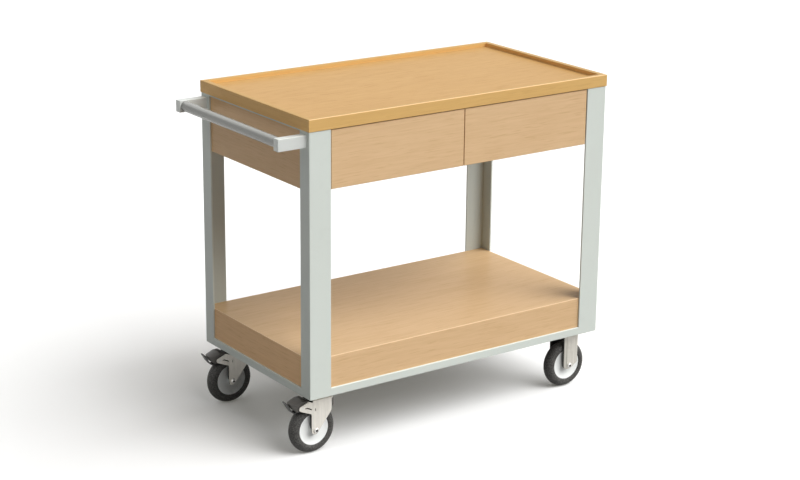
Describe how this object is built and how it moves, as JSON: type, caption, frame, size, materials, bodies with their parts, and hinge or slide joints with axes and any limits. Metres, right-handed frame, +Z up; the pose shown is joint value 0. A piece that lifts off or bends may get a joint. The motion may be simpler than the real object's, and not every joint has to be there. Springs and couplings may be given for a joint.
{
  "type": "serving trolley",
  "caption": "Serving trolley: angle-steel frame, lipped wooden tray top over drawers, boxed lower shelf, push handle at one end, braked swivel casters below it and fixed casters opposite.",
  "frame": {"origin": "middle of the whole trolley's footprint, on the floor", "axes": "+X from the handle end to the far end, +Y from the drawer fronts to the back, +Z up"},
  "size_m": [0.9794, 0.503, 0.85],
  "materials": {
    "painted_steel": "satin light grey powder coat",
    "tray_laminate": "pale beech laminate, fine grain along the length",
    "tray_edge": "golden beech edge lipping, satin",
    "case_board": "pale beech board, satin lacquer",
    "drawer_wood": "plain birch ply, matt",
    "runner_steel": "bright zinc",
    "handle_metal": "satin brushed",
    "zinc_steel": "bright zinc plate",
    "bolt_steel": "bright zinc plate",
    "wheel_plastic": "smooth pale grey moulding",
    "tyre_rubber": "matt dark grey rubber",
    "pedal_plastic": "matt dark grey moulding",
    "lever_steel": "black coated strip steel"
  },
  "bodies": {
    "frame": {"post_front_left": "painted_steel", "post_front_right": "painted_steel", "post_back_left": "painted_steel", "post_back_right": "painted_steel", "base_rails_long": "painted_steel", "base_rails_short": "painted_steel", "corner_plates": "painted_steel", "top_rails": "painted_steel", "tray_board": "tray_laminate", "tray_lips_long": "tray_edge", "tray_lips_short": "tray_edge", "end_panel_left": "case_board", "end_panel_right": "case_board", "back_panel": "case_board", "centre_divider": "case_board", "shelf_deck": "case_board", "shelf_skirts_long": "case_board", "shelf_skirts_short": "case_board", "runner_packers": "drawer_wood", "cabinet_runners": "runner_steel", "handle_bracket_front": "handle_metal", "handle_bracket_back": "handle_metal", "handle_bar": "handle_metal", "swivel_plate_front": "zinc_steel", "swivel_plate_back": "zinc_steel", "fixed_fork_front": "zinc_steel", "fixed_fork_back": "zinc_steel", "caster_bolts": "bolt_steel", "kingpins": "bolt_steel", "fixed_axles": "bolt_steel", "tray_screws": "bolt_steel", "handle_screws": "bolt_steel"},
    "drawer_left": {"drawer_left_front": "case_board", "drawer_left_sides": "drawer_wood", "drawer_left_back": "drawer_wood", "drawer_left_bottom": "drawer_wood", "drawer_left_runners": "runner_steel"},
    "drawer_right": {"drawer_right_front": "case_board", "drawer_right_sides": "drawer_wood", "drawer_right_back": "drawer_wood", "drawer_right_bottom": "drawer_wood", "drawer_right_runners": "runner_steel"},
    "swivel_front": {"swivel_fork_front": "zinc_steel", "swivel_axle_front": "bolt_steel", "pedal_pin_front": "bolt_steel"},
    "swivel_back": {"swivel_fork_back": "zinc_steel", "swivel_axle_back": "bolt_steel", "pedal_pin_back": "bolt_steel"},
    "brake_front": {"pedal_front": "pedal_plastic", "brake_lever_front": "lever_steel"},
    "brake_back": {"pedal_back": "pedal_plastic", "brake_lever_back": "lever_steel"},
    "swivel_wheel_front": {"swivel_hub_front": "wheel_plastic", "swivel_tyre_front": "tyre_rubber"},
    "swivel_wheel_back": {"swivel_hub_back": "wheel_plastic", "swivel_tyre_back": "tyre_rubber"},
    "fixed_wheel_front": {"fixed_hub_front": "wheel_plastic", "fixed_tyre_front": "tyre_rubber"},
    "fixed_wheel_back": {"fixed_hub_back": "wheel_plastic", "fixed_tyre_back": "tyre_rubber"}
  },
  "joints": [
    {"name": "drawer_left_slide", "type": "slide", "parent": "frame", "child": "drawer_left", "axis": [0, -1, 0], "range_m": [0, 0.3]},
    {"name": "drawer_right_slide", "type": "slide", "parent": "frame", "child": "drawer_right", "axis": [0, -1, 0], "range_m": [0, 0.3]},
    {"name": "caster_front_swivel", "type": "hinge", "parent": "frame", "child": "swivel_front", "pos_m": [-0.34675, -0.198, 0.142], "axis": [0, 0, 1], "continuous": true},
    {"name": "swivel_wheel_front_roll", "type": "hinge", "parent": "swivel_front", "child": "swivel_wheel_front", "pos_m": [-0.37675, -0.198, 0.0625], "axis": [0, 1, 0], "continuous": true},
    {"name": "brake_front_pedal", "type": "hinge", "parent": "swivel_front", "child": "brake_front", "pos_m": [-0.41475, -0.198, 0.127], "axis": [0, -1, 0], "range_deg": [0, 15]},
    {"name": "fixed_wheel_front_roll", "type": "hinge", "parent": "frame", "child": "fixed_wheel_front", "pos_m": [0.42325, -0.198, 0.0625], "axis": [0, 1, 0], "continuous": true},
    {"name": "caster_back_swivel", "type": "hinge", "parent": "frame", "child": "swivel_back", "pos_m": [-0.34675, 0.198, 0.142], "axis": [0, 0, 1], "continuous": true},
    {"name": "swivel_wheel_back_roll", "type": "hinge", "parent": "swivel_back", "child": "swivel_wheel_back", "pos_m": [-0.37675, 0.198, 0.0625], "axis": [0, 1, 0], "continuous": true},
    {"name": "brake_back_pedal", "type": "hinge", "parent": "swivel_back", "child": "brake_back", "pos_m": [-0.41475, 0.198, 0.127], "axis": [0, -1, 0], "range_deg": [0, 15]},
    {"name": "fixed_wheel_back_roll", "type": "hinge", "parent": "frame", "child": "fixed_wheel_back", "pos_m": [0.42325, 0.198, 0.0625], "axis": [0, 1, 0], "continuous": true}
  ]
}
